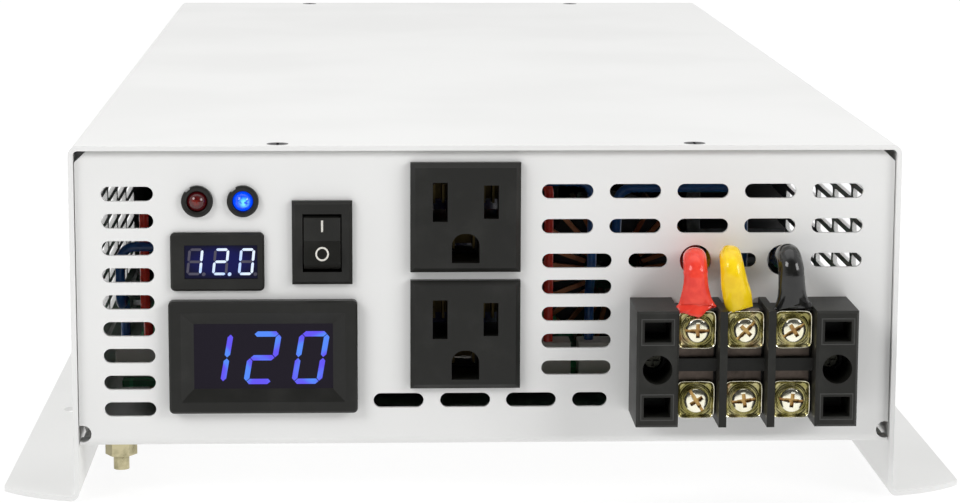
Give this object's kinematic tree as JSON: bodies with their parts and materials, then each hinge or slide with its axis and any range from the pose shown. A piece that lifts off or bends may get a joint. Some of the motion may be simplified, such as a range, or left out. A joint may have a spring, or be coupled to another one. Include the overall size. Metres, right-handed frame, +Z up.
{
  "type": "power inverter",
  "caption": "White steel bench inverter with earthed sockets, rocker switch, digital meters and lamps, a terminal block, rear fans and battery posts.",
  "frame": {"origin": "centre of the four mounting holes, on the plane the flanges rest on", "axes": "+Z up, +X to the right seen from the front, the control panel faces -Y"},
  "size_m": [0.245, 0.4843, 0.09],
  "materials": {
    "powder_white": "fine powder coat",
    "black_zinc_steel": "satin",
    "zinc_steel": "satin",
    "yellow_zinc_steel": "satin",
    "black_plastic": "satin",
    "black_phenolic": "satin",
    "red_plastic": "gloss",
    "white_nylon": "satin",
    "brass": "satin",
    "tinned_copper": "satin",
    "copper": "satin",
    "smoked_glass": "gloss",
    "display": "satin",
    "lamp_red": "gloss",
    "lamp_blue": "gloss",
    "red_sleeve": "gloss",
    "yellow_sleeve": "gloss",
    "black_sleeve": "gloss",
    "blue_sleeve": "satin",
    "aluminium": "satin",
    "circuit_board": "satin",
    "ferrite": "matt",
    "transformer_tape": "gloss",
    "capacitor_sleeve": "gloss"
  },
  "bodies": {
    "case": {"cover": "powder_white", "tray": "powder_white", "cover_screws": "black_zinc_steel", "side_screws": "zinc_steel", "outlets": "black_plastic", "outlet_contacts": "brass", "switch_frame": "black_plastic", "switch_tabs": "brass", "lamp_rings": "black_plastic", "lamp_red": "lamp_red", "lamp_blue": "lamp_blue", "dc_meter_case": "black_plastic", "ac_meter_case": "black_plastic", "meter_windows": "smoked_glass", "meter_displays": "display", "terminal_block": "black_phenolic", "terminal_bars": "brass", "upper_clamps": "yellow_zinc_steel", "upper_screws": "yellow_zinc_steel", "block_screws": "zinc_steel", "lead_red": "red_sleeve", "lead_yellow": "yellow_sleeve", "lead_black": "black_sleeve", "lead_lugs": "tinned_copper", "earth_stud": "yellow_zinc_steel", "board": "circuit_board", "standoffs": "brass", "board_screws": "zinc_steel", "heatsinks": "aluminium", "transistors": "black_plastic", "transformer_cores": "ferrite", "transformer_windings": "transformer_tape", "capacitors": "capacitor_sleeve", "choke_core": "ferrite", "choke_winding": "copper", "fuses": "white_nylon", "connectors": "white_nylon", "wires_red": "red_sleeve", "wires_blue": "blue_sleeve", "fan_frames": "black_plastic", "fan_screws": "zinc_steel", "bus_bars": "copper", "battery_posts": "brass", "base_red": "red_plastic", "base_black": "black_plastic"},
    "rocker": {"rocker": "black_plastic"},
    "fan_left": {"fan_rotor_left": "black_plastic"},
    "fan_right": {"fan_rotor_right": "black_plastic"},
    "clamp_left": {"clamp_left": "yellow_zinc_steel"},
    "clamp_middle": {"clamp_middle": "yellow_zinc_steel"},
    "clamp_right": {"clamp_right": "yellow_zinc_steel"},
    "screw_left": {"screw_left": "yellow_zinc_steel"},
    "screw_middle": {"screw_middle": "yellow_zinc_steel"},
    "screw_right": {"screw_right": "yellow_zinc_steel"},
    "washer_red": {"washer_red": "zinc_steel"},
    "washer_black": {"washer_black": "zinc_steel"},
    "knob_red": {"knob_red": "red_plastic"},
    "knob_black": {"knob_black": "black_plastic"},
    "earth_washer": {"earth_washer": "yellow_zinc_steel"},
    "earth_nut": {"earth_nut": "yellow_zinc_steel"}
  },
  "joints": [
    {"name": "rocker_tilt", "type": "hinge", "parent": "case", "child": "rocker", "pos_m": [-0.041, -0.2175, 0.06575], "axis": [1, 0, 0], "range_deg": [0, 21]},
    {"name": "fan_left_spin", "type": "hinge", "parent": "case", "child": "fan_left", "pos_m": [-0.062, 0.204, 0.05], "axis": [0, -1, 0], "continuous": true},
    {"name": "fan_right_spin", "type": "hinge", "parent": "case", "child": "fan_right", "pos_m": [0.062, 0.204, 0.05], "axis": [0, -1, 0], "continuous": true},
    {"name": "terminal_left_slide", "type": "slide", "parent": "case", "child": "clamp_left", "axis": [0, -1, 0], "range_m": [0, 0.0035]},
    {"name": "terminal_left_turn", "type": "hinge", "parent": "clamp_left", "child": "screw_left", "pos_m": [0.0514, -0.2312, 0.028], "axis": [0, -1, 0], "range_deg": [0, 1800]},
    {"name": "terminal_middle_slide", "type": "slide", "parent": "case", "child": "clamp_middle", "axis": [0, -1, 0], "range_m": [0, 0.0035]},
    {"name": "terminal_middle_turn", "type": "hinge", "parent": "clamp_middle", "child": "screw_middle", "pos_m": [0.0633, -0.2312, 0.028], "axis": [0, -1, 0], "range_deg": [0, 1800]},
    {"name": "terminal_right_slide", "type": "slide", "parent": "case", "child": "clamp_right", "axis": [0, -1, 0], "range_m": [0, 0.0035]},
    {"name": "terminal_right_turn", "type": "hinge", "parent": "clamp_right", "child": "screw_right", "pos_m": [0.0752, -0.2312, 0.028], "axis": [0, -1, 0], "range_deg": [0, 1800]},
    {"name": "knob_red_slide", "type": "slide", "parent": "case", "child": "washer_red", "axis": [0, 1, 0], "range_m": [0, 0.01]},
    {"name": "knob_red_turn", "type": "hinge", "parent": "washer_red", "child": "knob_red", "pos_m": [0.015, 0.2251, 0.047], "axis": [0, 1, 0], "range_deg": [0, 2880]},
    {"name": "knob_black_slide", "type": "slide", "parent": "case", "child": "washer_black", "axis": [0, 1, 0], "range_m": [0, 0.01]},
    {"name": "knob_black_turn", "type": "hinge", "parent": "washer_black", "child": "knob_black", "pos_m": [-0.015, 0.2251, 0.047], "axis": [0, 1, 0], "range_deg": [0, 2880]},
    {"name": "earth_nut_slide", "type": "slide", "parent": "case", "child": "earth_washer", "axis": [0, 0, -1], "range_m": [0, 0.0035]},
    {"name": "earth_nut_turn", "type": "hinge", "parent": "earth_washer", "child": "earth_nut", "pos_m": [-0.0925, -0.2095, 0.013], "axis": [0, 0, -1], "range_deg": [0, 1800]}
  ],
  "couplings": [
    {"joint": "terminal_left_turn", "follows": "terminal_left_slide", "rad_per_m": 8976},
    {"joint": "terminal_middle_turn", "follows": "terminal_middle_slide", "rad_per_m": 8976},
    {"joint": "terminal_right_turn", "follows": "terminal_right_slide", "rad_per_m": 8976},
    {"joint": "knob_red_turn", "follows": "knob_red_slide", "rad_per_m": 5026.5},
    {"joint": "knob_black_turn", "follows": "knob_black_slide", "rad_per_m": 5026.5},
    {"joint": "earth_nut_turn", "follows": "earth_nut_slide", "rad_per_m": 8976}
  ]
}
